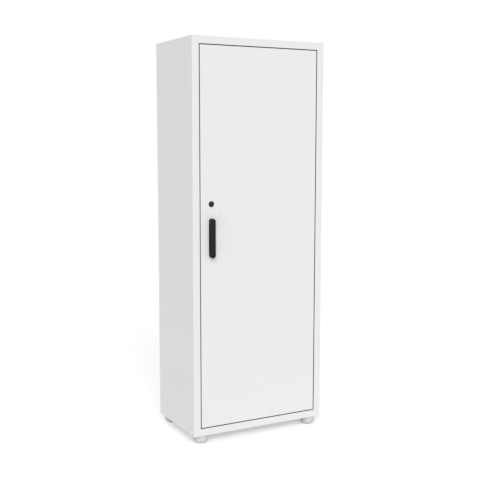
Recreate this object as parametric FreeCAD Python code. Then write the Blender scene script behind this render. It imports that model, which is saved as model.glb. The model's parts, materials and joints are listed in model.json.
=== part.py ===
import FreeCAD, Part
import math
import os

# Single-door broom cupboard of folded sheet steel, in millimetres.
# X runs to the right, Y to the back and Z up. The origin is on the floor, in the middle of the overall box.

Vector = FreeCAD.Vector

# Overall size, the depth without the handle
WIDTH = 700.0
DEPTH = 420.0
HEIGHT = 1900.0
FOOT_HEIGHT = 40.0

# Sheet steel: panel thickness, thicker lock sheet and inside bend radius
SHEET = 1.0
HEAVY_SHEET = 1.5
BEND = 1.0

# Clearances: radial play of turning fits, play of pieces that pass each other, and overrun of cuts
FIT = 0.05
SLACK = 0.3
OVERRUN = 2.0

# Flat steps that follow a quarter round on the eased edges of handle and feet
EASED_STEPS = 2

# Front frame: visible face, stop lip behind the door and stiffening flanges
FRAME_FACE = 35.5
STOP_LIP = 12.0
STILE_FLANGE = 14.0
REAR_FLANGE = 15.0
SWING_CLEARANCE = 6.0

# Door pan
DOOR_GAP = 4.0
DOOR_DEPTH = 20.0
DOOR_RETURN = 15.0
DOOR_END_RETURN = 28.0
STIFFENER_WIDTH = 90.0
STIFFENER_HOLLOW = 50.0
STIFFENER_DEPTH = 16.0
STIFFENER_END = 45.0

# Rubber door buffers on the lock stile's stop lip
BUFFER_SPACE = 2.0
BUFFER_RADIUS = 4.0
BUFFER_SHARES = (0.2, 0.8)

# Hinges: pin axis from the door's edge and face, pin, bush and block
PIVOT_EDGE = 14.0
PIVOT_DEPTH = 7.0
PIN_RADIUS = 3.0
PIN_TIP = 8.0
BUSH_RADIUS = 4.5
BUSH_FLANGE_RADIUS = 6.5
BUSH_TAIL = 5.0
BLOCK_REACH = 12.0
BLOCK_BEHIND = 7.0
BLOCK_HEIGHT = 30.0

# Pull handle, on the same upright line as the lock
HANDLE_HEIGHT = 982.0
HANDLE_LENGTH = 184.0
HANDLE_LEG = 24.0
HANDLE_WIDTH = 25.0
HANDLE_PROJECTION = 27.0
HANDLE_BAR = 10.0
HANDLE_PLATE = 2.0
HANDLE_BOW = 6.0
HANDLE_HOLLOW = 13.0

# Lock: place on the door and above the handle's middle, rose, barrel, plug and nut
LOCK_BACKSET = 54.0
LOCK_RISE = 158.0
ROSE_RADIUS = 13.5
ROSE_DEPTH = 3.0
BARREL_RADIUS = 9.0
PLUG_RADIUS = 6.0
PLUG_RECESS = 0.6
KEY_SLOT_WIDTH = 2.0
KEY_SLOT_LENGTH = 8.0
KEY_SLOT_DEPTH = 10.0
TANG = 7.0
BARREL_NUT_FLATS = 24.0
BARREL_NUT_DEPTH = 4.0
WASHER_FLATS = 14.0
WASHER_DEPTH = 1.2

# Rack and pinion: the tooth heights are shares of the module
MODULE = 1.5
PINION_TEETH = 14
ADDENDUM_SHARE = 0.8
DEDENDUM_SHARE = 1.0
PRESSURE_ANGLE = math.radians(20)
BACKLASH = 0.15
LOCK_TURN = math.radians(90)

# Locking rods, their guides and the lock case
ROD_WIDTH = 12.0
ROD_DEPTH = 4.0
ROD_SPACE = 1.0
ROD_SHORT = 3.0
ROD_TIP = 3.0
RACK_RUN_OUT = 9.0
GUIDE_WALL = 3.0
GUIDE_HEIGHT = 14.0
GUIDE_EDGE = 1.5
COVER_FLANGE = 9.0
COVER_HEIGHT = 84.0
PLATE_HEIGHT = 104.0
BRACKET_HEIGHT = 120.0
BRACKET_FLANGE = 8.0

# Inside: front line of the shelves, hat shelf and upright partition
INNER_SETBACK = 60.0
HAT_SPACE = 290.0
BROOM_WIDTH = 340.0
PARTITION_FLANGE = 20.0
PARTITION_HEM = 10.0
SHELF_DROP = 25.0
SHELF_HEM = 12.0
SHELF_UPSTAND = 15.0
SHELF_GAP = 1.0
HEM_GAP = 3.0
HAT_BRACKET_LEG = 20.0

# Slotted uprights and shelf clips
UPRIGHT_WIDTH = 34.0
UPRIGHT_HOLLOW = 16.0
UPRIGHT_DEPTH = 8.0
UPRIGHT_INSET = 55.0
UPRIGHT_END = 60.0
SLOT_SPACING = 70.0
SLOT_WIDTH = 12.0
SLOT_HEIGHT = 4.0
SHELF_SLOTS = {"lower_shelf": 4, "middle_shelf": 9, "upper_shelf": 14}
CLIP = 2.0
CLIP_WIDTH = 10.0
CLIP_REACH = 14.0
CLIP_LEG = 12.0
CLIP_RISE = 6.0

# Hook rail and broom hooks on the back of the broom bay
RAIL_DROP = 92.0
RAIL_WIDTH = 50.0
RAIL_HOLLOW = 26.0
RAIL_DEPTH = 12.0
RAIL_END = 20.0
HOOK_COUNT = 3
HOOK_SPACING = 105.0
HOOK_STRIP = 2.0
HOOK_WIDTH = 16.0
HOOK_LEG = 20.0
HOOK_REACH = 40.0
HOOK_TIP = 26.0

# Feet
FOOT_RADIUS = 35.0
FOOT_ROUND = 15.0
FOOT_INSET_SIDE = 50.0
FOOT_INSET_END = 38.0

# Wall fixing holes in the back
WALL_HOLE_RADIUS = 3.5
WALL_HOLE_SPACING = 500.0
WALL_HOLE_DROP = 120.0

# Planes of the cabinet
LEFT = -WIDTH / 2
RIGHT = WIDTH / 2
FRONT = (HANDLE_PROJECTION - DEPTH) / 2
BACK = FRONT + DEPTH
BASE = FOOT_HEIGHT
TOP = HEIGHT
FLOOR = BASE + SHEET
BACK_OUTER = BACK - SHEET
BACK_INNER = BACK_OUTER - SHEET
WALL_LEFT = LEFT + SHEET
WALL_RIGHT = RIGHT - SHEET

# Planes of the door opening and the door
JAMB_LEFT = LEFT + FRAME_FACE
JAMB_RIGHT = RIGHT - FRAME_FACE
OPEN_LOW = BASE + FRAME_FACE
OPEN_HIGH = TOP - FRAME_FACE
DOOR_LEFT = JAMB_LEFT + DOOR_GAP
DOOR_RIGHT = JAMB_RIGHT - DOOR_GAP
DOOR_LOW = OPEN_LOW + DOOR_GAP
DOOR_HIGH = OPEN_HIGH - DOOR_GAP
SKIN_INNER = FRONT + SHEET
DOOR_BACK = FRONT + DOOR_DEPTH
LIP_FRONT = DOOR_BACK + BUFFER_SPACE
LIP_BACK = LIP_FRONT + SHEET
PIVOT_X = DOOR_RIGHT - PIVOT_EDGE
PIVOT_Y = FRONT + PIVOT_DEPTH
LIP_CUTBACK = DOOR_GAP + PIVOT_EDGE + DOOR_DEPTH - PIVOT_DEPTH + SWING_CLEARANCE

# Lock centre and the layers behind the door
LOCK_X = DOOR_LEFT + LOCK_BACKSET
LOCK_HEIGHT = HANDLE_HEIGHT + LOCK_RISE
PLATE_BACK = DOOR_BACK + HEAVY_SHEET
ROD_FRONT = LIP_BACK + ROD_SPACE
ROD_BACK = ROD_FRONT + ROD_DEPTH
COVER_INNER = ROD_BACK + SLACK
COVER_OUTER = COVER_INNER + HEAVY_SHEET
PITCH_RADIUS = MODULE * PINION_TEETH / 2
TOOTH_PITCH = math.pi * MODULE
ADDENDUM = ADDENDUM_SHARE * MODULE
DEDENDUM = DEDENDUM_SHARE * MODULE
ROD_INNER = PITCH_RADIUS - ADDENDUM
ROD_OUTER = ROD_INNER + ROD_WIDTH
ROD_TRAVEL = PITCH_RADIUS * LOCK_TURN
COVER_HOLLOW = ROD_OUTER + ROD_SPACE
COVER_HALF = COVER_HOLLOW + HEAVY_SHEET + COVER_FLANGE
BRACKET_HALF = COVER_HALF + HEAVY_SHEET + BRACKET_FLANGE

# Planes of the fittings inside
INNER_FRONT = FRONT + INNER_SETBACK
HAT_UNDER = TOP - HAT_SPACE - SHEET
PARTITION_LEFT = WALL_LEFT + BROOM_WIDTH
PARTITION_RIGHT = PARTITION_LEFT + SHEET
PARTITION_FRONT = INNER_FRONT + SHELF_HEM + HEM_GAP
SHELF_FRONT = PARTITION_FRONT + PARTITION_HEM + HEM_GAP
SHELF_REAR = BACK_INNER - SHEET - SHELF_GAP
BAY_MIDDLE = (PARTITION_RIGHT + WALL_RIGHT) / 2
UPRIGHT_LOW = FLOOR + UPRIGHT_END
UPRIGHT_HIGH = HAT_UNDER - UPRIGHT_END
UPRIGHT_ROWS = {"front": SHELF_FRONT + UPRIGHT_INSET, "rear": SHELF_REAR - UPRIGHT_INSET}
WEB_FACE = PARTITION_RIGHT + UPRIGHT_DEPTH
HOOK_HEIGHT = HAT_UNDER - RAIL_DROP
RAIL_FACE = BACK_INNER - RAIL_DEPTH
FOOT_X = (LEFT + FOOT_INSET_SIDE, RIGHT - FOOT_INSET_SIDE)
FOOT_Y = (FRONT + FOOT_INSET_END, BACK - FOOT_INSET_END)

# Section planes: the two directions of a section and the direction it is extruded in
PLANES = {
    "x": (Vector(0, 1, 0), Vector(0, 0, 1), Vector(1, 0, 0)),
    "y": (Vector(0, 0, 1), Vector(1, 0, 0), Vector(0, 1, 0)),
    "z": (Vector(1, 0, 0), Vector(0, 1, 0), Vector(0, 0, 1)),
}


def block(x0, x1, y0, y1, z0, z1):
    """Box between two corners."""
    return Part.makeBox(x1 - x0, y1 - y0, z1 - z0, Vector(x0, y0, z0))


def round_bar(radius, start, end):
    """Round bar between two points."""
    along = end - start
    return Part.makeCylinder(radius, along.Length, start, along)


def joined(shapes):
    """One solid made of touching shapes."""
    return shapes[0].multiFuse(shapes[1:]).removeSplitter()


def line(start, end):
    return Part.LineSegment(start, end).toShape()


def corner_arc(corner, before, after, radius):
    """Start, middle and end of the arc that rounds a corner, and its centre."""
    back = (before - corner).normalize()
    ahead = (after - corner).normalize()
    half_angle = back.getAngle(ahead) / 2
    inward = (back + ahead).normalize()
    centre = corner + inward * (radius / math.sin(half_angle))
    reach = radius / math.tan(half_angle)
    return corner + back * reach, centre - inward * radius, corner + ahead * reach, centre


def section_points(pairs, axis):
    across, up, _ = PLANES[axis]
    return [across * u + up * v for u, v in pairs]


def extruded(face, axis, low, high):
    """Solid of a section between two places along its axis."""
    along = PLANES[axis][2]
    solid = face.extrude(along * (high - low))
    solid.translate(along * low)
    return solid


def rounded_face(pairs, radii, axis):
    """Face of a closed outline, each corner rounded by its own radius."""
    points = section_points(pairs, axis)
    edges = []
    ends = []
    for i, corner in enumerate(points):
        if radii[i] > 0:
            after = points[(i + 1) % len(points)]
            start, middle, end, _ = corner_arc(corner, points[i - 1], after, radii[i])
            edges.append(Part.Arc(start, middle, end).toShape())
            ends.append((start, end))
        else:
            ends.append((corner, corner))
    for i, (start, _) in enumerate(ends):
        previous = ends[i - 1][1]
        if not previous.isEqual(start, FIT):
            edges.append(line(previous, start))
    return Part.Face(Part.Wire(Part.__sortEdges__(edges)))


def plain_face(pairs, axis):
    """Face of a closed outline with sharp corners."""
    points = section_points(pairs, axis)
    return Part.Face(Part.makePolygon(points + points[:1]))


def eased_corner(radius):
    """Points of a quarter round in flat steps, as distances from the corner along its two sides."""
    turns = [math.pi / 2 * i / EASED_STEPS for i in range(EASED_STEPS + 1)]
    return [(radius * (1 - math.cos(turn)), radius * (1 - math.sin(turn))) for turn in turns]


def left_sides(points, thickness, axis):
    """Steps from each stretch of a path to the other surface of the sheet on its left."""
    along = PLANES[axis][2]
    return [along.cross(b - a).normalize() * thickness for a, b in zip(points, points[1:])]


def folded(pairs, thickness, axis, low, high):
    """Folded sheet with rounded bends; the path is one surface and the sheet lies to its left."""
    points = section_points(pairs, axis)
    sides = left_sides(points, thickness, axis)
    near = points[0]
    far = points[0] + sides[0]
    edges = [line(near, far)]
    for i in range(1, len(points) - 1):
        before, corner, after = points[i - 1:i + 2]
        to_left = sides[i - 1].dot(after - corner) > 0
        near_radius = BEND + thickness if to_left else BEND
        far_radius = BEND if to_left else BEND + thickness
        start, middle, end, centre = corner_arc(corner, before, after, near_radius)
        scale = far_radius / near_radius
        far_arc = [centre + (p - centre) * scale for p in (start, middle, end)]
        edges.append(line(near, start))
        edges.append(Part.Arc(start, middle, end).toShape())
        edges.append(line(far, far_arc[0]))
        edges.append(Part.Arc(*far_arc).toShape())
        near = end
        far = far_arc[2]
    edges.append(line(near, points[-1]))
    edges.append(line(far, points[-1] + sides[-1]))
    edges.append(line(points[-1], points[-1] + sides[-1]))
    return extruded(Part.Face(Part.Wire(Part.__sortEdges__(edges))), axis, low, high)


def square_folded(pairs, thickness, axis, low, high):
    """Folded sheet with sharp square bends, for what is inside; the sheet lies to the path's left."""
    points = section_points(pairs, axis)
    sides = left_sides(points, thickness, axis)
    far = [points[0] + sides[0]]
    far += [corner + before + after for corner, before, after in zip(points[1:], sides, sides[1:])]
    far.append(points[-1] + sides[-1])
    outline = points + far[::-1]
    return extruded(Part.Face(Part.makePolygon(outline + outline[:1])), axis, low, high)


def hat_path(wall, out, centre, half_width, half_hollow, hollow_depth):
    """Path of a hat-shaped strip on a wall; out is +1 or -1, the way it stands off the wall."""
    top = wall + out * hollow_depth
    steps = [(wall, half_width), (wall, half_hollow), (top, half_hollow)]
    first = [(level, centre + out * offset) for level, offset in steps]
    last = [(level, centre - out * offset) for level, offset in reversed(steps)]
    return first + last


def across(path):
    """The same path with its two directions exchanged and the sheet still on its left."""
    return [(v, u) for u, v in reversed(path)]


def hexagon(flats, centre, direction, depth):
    """Hexagonal bar, measured across its flats."""
    corner = flats / 2 / math.cos(math.radians(30))
    points = [Vector(corner * math.cos(math.radians(60 * i)), corner * math.sin(math.radians(60 * i)), 0)
              for i in range(6)]
    bar = Part.Face(Part.makePolygon(points + points[:1])).extrude(Vector(0, 0, depth))
    bar.Placement = FreeCAD.Placement(centre, FreeCAD.Rotation(Vector(0, 0, 1), direction))
    return bar


def mirrored_up(shape):
    """Copy turned over about the middle height of the cabinet."""
    return shape.mirror(Vector(0, 0, (BASE + TOP) / 2), Vector(0, 0, 1))


# Cabinet panels

def side_panel(jamb_path):
    """Left-hand side: wall, rear flange and front stile in one sheet, with a jamb along the opening."""
    wall_path = [(LEFT + REAR_FLANGE, BACK), (LEFT, BACK), (LEFT, FRONT), (JAMB_LEFT, FRONT)]
    ends = [folded(wall_path, SHEET, "z", low, high) for low, high in ((BASE, OPEN_LOW), (OPEN_HIGH, TOP))]
    middle = folded(wall_path + jamb_path, SHEET, "z", OPEN_LOW, OPEN_HIGH)
    return joined([middle] + ends)


def left_side():
    """Lock side: its jamb ends in a stop lip behind the door, cut back at both ends for the rails' lips."""
    panel = side_panel([(JAMB_LEFT, LIP_FRONT), (JAMB_LEFT + STOP_LIP, LIP_FRONT)])
    for low, high in ((OPEN_LOW, OPEN_LOW + STOP_LIP), (OPEN_HIGH - STOP_LIP, OPEN_HIGH)):
        panel = panel.cut(block(JAMB_LEFT, JAMB_LEFT + STOP_LIP + OVERRUN, FRONT, LIP_BACK + OVERRUN,
                                low, high))
    return panel


def right_side():
    """Hinge side: its jamb turns away from the door, so the swinging edge has room."""
    panel = side_panel([(JAMB_LEFT, LIP_BACK), (JAMB_LEFT - STILE_FLANGE, LIP_BACK)])
    return panel.mirror(Vector(0, 0, 0), Vector(1, 0, 0))


def top_panel():
    """Top, front rail, stop lip and rear flange in one folded sheet, with flat ends over the stiles.

    The rear flange reaches the flanges of the sides.
    """
    path = [(BACK, TOP - REAR_FLANGE), (BACK, TOP), (FRONT, TOP), (FRONT, OPEN_HIGH),
            (LIP_FRONT, OPEN_HIGH), (LIP_FRONT, OPEN_HIGH - STOP_LIP)]
    middle = folded(path, SHEET, "x", JAMB_LEFT, JAMB_RIGHT)
    end_front = SKIN_INNER + BEND
    ends = [block(x0, x1, end_front, BACK_OUTER - BEND, TOP - SHEET, TOP)
            for x0, x1 in ((WALL_LEFT, LEFT + REAR_FLANGE), (RIGHT - REAR_FLANGE, WALL_RIGHT))]
    ends += [folded(path[:2] + [(end_front, TOP)], SHEET, "x", x0, x1)
             for x0, x1 in ((LEFT + REAR_FLANGE, JAMB_LEFT), (JAMB_RIGHT, RIGHT - REAR_FLANGE))]
    panel = joined([middle] + ends)
    panel = panel.cut(block(JAMB_RIGHT - LIP_CUTBACK, JAMB_RIGHT + OVERRUN, LIP_FRONT - BEND,
                            LIP_BACK + OVERRUN, OPEN_HIGH - STOP_LIP - OVERRUN, OPEN_HIGH))
    return panel.cut(round_bar(BUSH_RADIUS + FIT, Vector(PIVOT_X, PIVOT_Y, OPEN_HIGH - OVERRUN),
                         Vector(PIVOT_X, PIVOT_Y, OPEN_HIGH + SHEET + OVERRUN)))


def bottom_panel():
    """The top panel turned over."""
    return mirrored_up(top_panel())


def back_panel():
    """Flat back in front of the rear flanges, with two holes for fixing to a wall."""
    inset = SHEET + BEND
    panel = block(LEFT + inset, RIGHT - inset, BACK_INNER, BACK_OUTER, BASE + inset, TOP - inset)
    for x in (-WALL_HOLE_SPACING / 2, WALL_HOLE_SPACING / 2):
        height = TOP - WALL_HOLE_DROP
        panel = panel.cut(round_bar(WALL_HOLE_RADIUS, Vector(x, BACK_INNER - OVERRUN, height),
                              Vector(x, BACK + OVERRUN, height)))
    return panel


# Fittings inside

def partition():
    """Upright wall between broom bay and shelves, its front edge folded twice."""
    path = [(PARTITION_LEFT + REAR_FLANGE, BACK_INNER), (PARTITION_LEFT, BACK_INNER),
            (PARTITION_LEFT, PARTITION_FRONT), (PARTITION_LEFT + PARTITION_FLANGE, PARTITION_FRONT),
            (PARTITION_LEFT + PARTITION_FLANGE, PARTITION_FRONT + PARTITION_HEM)]
    return square_folded(path, SHEET, "z", FLOOR, HAT_UNDER)


def shelf(under, front, rear, x0, x1):
    """Shelf with a folded front edge and an upstand along the back."""
    hem = under + SHEET - SHELF_DROP + SHEET
    path = [(front + SHELF_HEM, hem), (front + SHEET, hem), (front + SHEET, under), (rear, under),
            (rear, under + SHEET + SHELF_UPSTAND)]
    return square_folded(path, SHEET, "x", x0, x1)


def hat_shelf():
    return shelf(HAT_UNDER, INNER_FRONT, BACK_INNER, WALL_LEFT + SHELF_GAP, WALL_RIGHT - SHELF_GAP)


def hat_bracket():
    """Left-hand angle on the side wall that carries the hat shelf."""
    path = [(HAT_UNDER - HAT_BRACKET_LEG, WALL_LEFT), (HAT_UNDER, WALL_LEFT),
            (HAT_UNDER, WALL_LEFT + HAT_BRACKET_LEG)]
    return square_folded(path, HEAVY_SHEET, "y", PARTITION_FRONT, BACK_INNER - HEM_GAP)


def slot_heights():
    """Lower edges of all slots of an upright."""
    count = int((UPRIGHT_HIGH - UPRIGHT_LOW) / SLOT_SPACING)
    return [UPRIGHT_LOW + SLOT_SPACING * (i + 1 / 2) for i in range(count)]


def upright(y):
    """Hat-shaped strip on the partition, with a slot for a clip at each step."""
    path = hat_path(PARTITION_RIGHT, 1, y, UPRIGHT_WIDTH / 2, UPRIGHT_HOLLOW / 2, UPRIGHT_DEPTH - SHEET)
    strip = square_folded(path, SHEET, "z", UPRIGHT_LOW, UPRIGHT_HIGH)
    slots = [block(WEB_FACE - SHEET - OVERRUN, WEB_FACE + OVERRUN, y - SLOT_WIDTH / 2, y + SLOT_WIDTH / 2,
                   low, low + SLOT_HEIGHT) for low in slot_heights()]
    return strip.cut(Part.makeCompound(slots))


def across_bay(shape):
    """Copy on the other wall of the shelf bay."""
    return shape.mirror(Vector(BAY_MIDDLE, 0, 0), Vector(1, 0, 0))


def clip(low, y):
    """Shelf clip in a slot of the partition's upright: tab, leg against the web and hook behind it."""
    hook_front = WEB_FACE - SHEET - SLACK
    hook_back = hook_front - CLIP
    high = low + CLIP
    outline = [(low - CLIP_LEG, WEB_FACE), (low - CLIP_LEG, WEB_FACE + CLIP), (low, WEB_FACE + CLIP),
               (low, WEB_FACE + CLIP_REACH), (high, WEB_FACE + CLIP_REACH), (high, hook_front),
               (high + CLIP_RISE, hook_front), (high + CLIP_RISE, hook_back), (low, hook_back),
               (low, WEB_FACE)]
    return extruded(plain_face(outline, "y"), "y", y - CLIP_WIDTH / 2, y + CLIP_WIDTH / 2)


def shelf_clips():
    """Four clips under each half-width shelf."""
    clips = []
    for step in SHELF_SLOTS.values():
        for y in UPRIGHT_ROWS.values():
            piece = clip(slot_heights()[step], y)
            clips += [piece, across_bay(piece)]
    return Part.makeCompound(clips)


def half_shelf(step):
    """Half-width shelf lying on the clips of one slot step."""
    x0 = WEB_FACE + SHELF_GAP
    x1 = 2 * BAY_MIDDLE - x0
    return shelf(slot_heights()[step] + CLIP, SHELF_FRONT, SHELF_REAR, x0, x1)


def hook_rail():
    path = hat_path(BACK_INNER, -1, HOOK_HEIGHT, RAIL_WIDTH / 2, RAIL_HOLLOW / 2, RAIL_DEPTH - SHEET)
    return square_folded(path, SHEET, "x", WALL_LEFT + RAIL_END, PARTITION_LEFT - RAIL_END)


def broom_hook(x):
    """Strip of steel folded up at its tip and against the rail."""
    low = HOOK_HEIGHT - HOOK_LEG / 2
    tip = RAIL_FACE - HOOK_REACH
    path = [(tip, low + HOOK_TIP), (tip, low), (RAIL_FACE, low), (RAIL_FACE, low + HOOK_LEG)]
    return square_folded(path, HOOK_STRIP, "x", x - HOOK_WIDTH / 2, x + HOOK_WIDTH / 2)


def broom_hooks():
    middle = (WALL_LEFT + PARTITION_LEFT) / 2
    first = middle - HOOK_SPACING * (HOOK_COUNT - 1) / 2
    return Part.makeCompound([broom_hook(first + HOOK_SPACING * i) for i in range(HOOK_COUNT)])


def door_buffers():
    """Rubber discs on the lock stile's lip, just clear of the closed door."""
    x = JAMB_LEFT + STOP_LIP - BUFFER_RADIUS
    buffers = []
    for share in BUFFER_SHARES:
        z = OPEN_LOW + (OPEN_HIGH - OPEN_LOW) * share
        buffers.append(round_bar(BUFFER_RADIUS, Vector(x, LIP_FRONT, z), Vector(x, DOOR_BACK + SLACK, z)))
    return Part.makeCompound(buffers)


# Hinges, at the top; the lower ones are the same turned over

def hinge_bush():
    """Flanged bush in the rail: the flange fills the gap above the door."""
    bottom = OPEN_HIGH - DOOR_GAP + SLACK
    top = OPEN_HIGH + SHEET + BUSH_TAIL
    outline = [(bottom, PIN_RADIUS + FIT), (bottom, BUSH_FLANGE_RADIUS), (OPEN_HIGH, BUSH_FLANGE_RADIUS),
               (OPEN_HIGH, BUSH_RADIUS), (top, BUSH_RADIUS), (top, PIN_RADIUS + FIT)]
    bush = plain_face(outline, "y").revolve(Vector(0, 0, 0), Vector(0, 0, 1), 360)
    bush.translate(Vector(PIVOT_X, PIVOT_Y, 0))
    return bush


def hinge_pin():
    foot = Vector(PIVOT_X, PIVOT_Y, DOOR_HIGH - SHEET - BLOCK_HEIGHT)
    return round_bar(PIN_RADIUS, foot, Vector(PIVOT_X, PIVOT_Y, OPEN_HIGH + SHEET + BUSH_TAIL + PIN_TIP))


def hinge_block():
    """Block inside the door's corner that holds the pin."""
    top = DOOR_HIGH - SHEET
    body = block(PIVOT_X - BLOCK_REACH, DOOR_RIGHT - SHEET - BEND, SKIN_INNER + BEND,
                 PIVOT_Y + BLOCK_BEHIND, top - BLOCK_HEIGHT, top)
    return body.cut(round_bar(PIN_RADIUS + FIT, Vector(PIVOT_X, PIVOT_Y, top - BLOCK_HEIGHT - OVERRUN),
                        Vector(PIVOT_X, PIVOT_Y, top + OVERRUN)))


# Door

def pan(inset, radius):
    """Box of the door made smaller all round by the inset, its front edges rounded."""
    box = block(DOOR_LEFT + inset, DOOR_RIGHT - inset, FRONT + inset, DOOR_BACK - inset,
                DOOR_LOW + inset, DOOR_HIGH - inset)
    rim = [edge for edge in box.Edges if edge.BoundBox.YMax < FRONT + inset + FIT]
    return box.makeFillet(radius, rim)


def door_pan():
    """Folded pan with returns along its back, and holes for the pins and the lock."""
    door = pan(0, BEND + SHEET).cut(pan(SHEET, BEND))
    door = door.cut(block(DOOR_LEFT + DOOR_RETURN, DOOR_RIGHT - DOOR_RETURN, DOOR_BACK - DOOR_DEPTH / 2,
                          DOOR_BACK + OVERRUN, DOOR_LOW + DOOR_END_RETURN, DOOR_HIGH - DOOR_END_RETURN))
    door = door.cut(barrel_hole(FRONT, SKIN_INNER, BARREL_RADIUS + FIT))
    pin_line = Vector(PIVOT_X, PIVOT_Y, 0)
    for low, high in ((DOOR_LOW, DOOR_LOW + SHEET), (DOOR_HIGH - SHEET, DOOR_HIGH)):
        door = door.cut(round_bar(PIN_RADIUS + FIT, pin_line + Vector(0, 0, low - OVERRUN),
                                  pin_line + Vector(0, 0, high + OVERRUN)))
    return door


def door_stiffener():
    """Hat-shaped upright strip down the middle of the door's inside."""
    path = hat_path(SKIN_INNER, 1, (DOOR_LEFT + DOOR_RIGHT) / 2, STIFFENER_WIDTH / 2, STIFFENER_HOLLOW / 2,
                    STIFFENER_DEPTH - SHEET)
    return square_folded(across(path), SHEET, "z", DOOR_LOW + STIFFENER_END, DOOR_HIGH - STIFFENER_END)


def handle():
    """Bow handle on a back plate: round ends, eased front edges and a way through for the fingers."""
    low = HANDLE_HEIGHT - HANDLE_LENGTH / 2
    high = HANDLE_HEIGHT + HANDLE_LENGTH / 2
    outer = FRONT - HANDLE_PROJECTION
    inner = outer + HANDLE_BAR
    plate = FRONT - HANDLE_PLATE
    half = HANDLE_WIDTH / 2
    flank = [(half - inward, outer + back) for back, inward in eased_corner(HANDLE_BOW)] + [(half, FRONT)]
    half_section = plain_face([(0, FRONT), (0, outer)] + flank, "z")
    section = plain_face([(-x, y) for x, y in reversed(flank)] + flank, "z")
    bar = [extruded(section, "z", low + half, high - half)]
    for end, turn in ((low + half, 180), (high - half, -180)):
        round_end = half_section.revolve(Vector(0, 0, 0), Vector(0, 1, 0), turn)
        round_end.translate(Vector(0, 0, end))
        bar.append(round_end)
    hollow = [(plate, low + HANDLE_LEG), (plate, high - HANDLE_LEG),
              (inner, high - HANDLE_LEG), (inner, low + HANDLE_LEG)]
    hollow_face = rounded_face(hollow, [0, 0, HANDLE_HOLLOW, HANDLE_HOLLOW], "x")
    pull = joined(bar).cut(extruded(hollow_face, "x", -half - OVERRUN, half + OVERRUN))
    pull.translate(Vector(LOCK_X, 0, 0))
    return pull


# Lock case on the door

def lock_barrel():
    """Barrel through the door with a round rose in front of it."""
    front = FRONT - ROSE_DEPTH
    bore = PLUG_RADIUS + FIT
    outline = [(bore, front), (ROSE_RADIUS, front), (ROSE_RADIUS, FRONT), (BARREL_RADIUS, FRONT),
               (BARREL_RADIUS, PLATE_BACK), (bore, PLATE_BACK)]
    barrel = plain_face(outline, "z").revolve(Vector(0, 0, 0), Vector(0, 1, 0), 360)
    barrel.translate(Vector(LOCK_X, 0, LOCK_HEIGHT))
    return barrel


def barrel_hole(y0, y1, radius):
    return round_bar(radius, Vector(LOCK_X, y0 - OVERRUN, LOCK_HEIGHT),
                     Vector(LOCK_X, y1 + OVERRUN, LOCK_HEIGHT))


def barrel_nut():
    """Hexagonal nut that clamps the barrel from behind the door skin."""
    centre = Vector(LOCK_X, SKIN_INNER, LOCK_HEIGHT)
    bar = hexagon(BARREL_NUT_FLATS, centre, Vector(0, 1, 0), BARREL_NUT_DEPTH)
    return bar.cut(barrel_hole(SKIN_INNER, SKIN_INNER + BARREL_NUT_DEPTH, BARREL_RADIUS + FIT))


def lock_hat(wall, outer, half_width, half_hollow, height):
    """Hat-shaped strip of lock sheet round the lock's centre, between two depths."""
    path = across(hat_path(wall, 1, LOCK_X, half_width, half_hollow, outer - wall - HEAVY_SHEET))
    return square_folded(path, HEAVY_SHEET, "z", LOCK_HEIGHT - height / 2, LOCK_HEIGHT + height / 2)


def lock_bracket():
    """Bridge on the door skin that carries the lock at the level of the returns."""
    bridge = lock_hat(SKIN_INNER, DOOR_BACK, BRACKET_HALF, COVER_HALF, BRACKET_HEIGHT)
    return bridge.cut(barrel_hole(DOOR_BACK - HEAVY_SHEET, DOOR_BACK, BARREL_RADIUS + FIT))


def lock_plate():
    """Flat base plate of the lock case."""
    plate = block(LOCK_X - COVER_HALF, LOCK_X + COVER_HALF, DOOR_BACK, PLATE_BACK,
                  LOCK_HEIGHT - PLATE_HEIGHT / 2, LOCK_HEIGHT + PLATE_HEIGHT / 2)
    return plate.cut(barrel_hole(DOOR_BACK, PLATE_BACK, BARREL_RADIUS + FIT))


def lock_cover():
    """Folded cover that holds the rods against the plate and carries the end of the plug."""
    cover = lock_hat(PLATE_BACK, COVER_OUTER, COVER_HALF, COVER_HOLLOW, COVER_HEIGHT)
    return cover.cut(barrel_hole(COVER_INNER, COVER_OUTER, math.hypot(TANG, TANG) / 2 + FIT))


def rod_guide(turn):
    """Block on the door's end return that the rod slides through; turn is +1 for the upper rod."""
    middle = LOCK_X - turn * (ROD_INNER + ROD_OUTER) / 2
    half = ROD_WIDTH / 2 + SLACK
    outer = half + GUIDE_WALL
    roof = ROD_BACK + SLACK + GUIDE_WALL
    outline = [(middle - outer, DOOR_BACK), (middle + outer, DOOR_BACK), (middle + outer, roof),
               (middle - outer, roof)]
    face = rounded_face(outline, [0, 0, GUIDE_EDGE, GUIDE_EDGE], "z")
    end = rod_end(turn)
    low, high = sorted((end, end - turn * GUIDE_HEIGHT))
    body = extruded(face, "z", low, high)
    return body.cut(block(middle - half, middle + half, ROD_FRONT - SLACK, ROD_BACK + SLACK,
                          low - OVERRUN, high + OVERRUN))


# Lock works

def rod_end(turn):
    """Height of a rod's free end when it is drawn in, just short of the stop lip."""
    edge = STOP_LIP + ROD_SHORT
    return OPEN_HIGH - edge if turn > 0 else OPEN_LOW + edge


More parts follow.
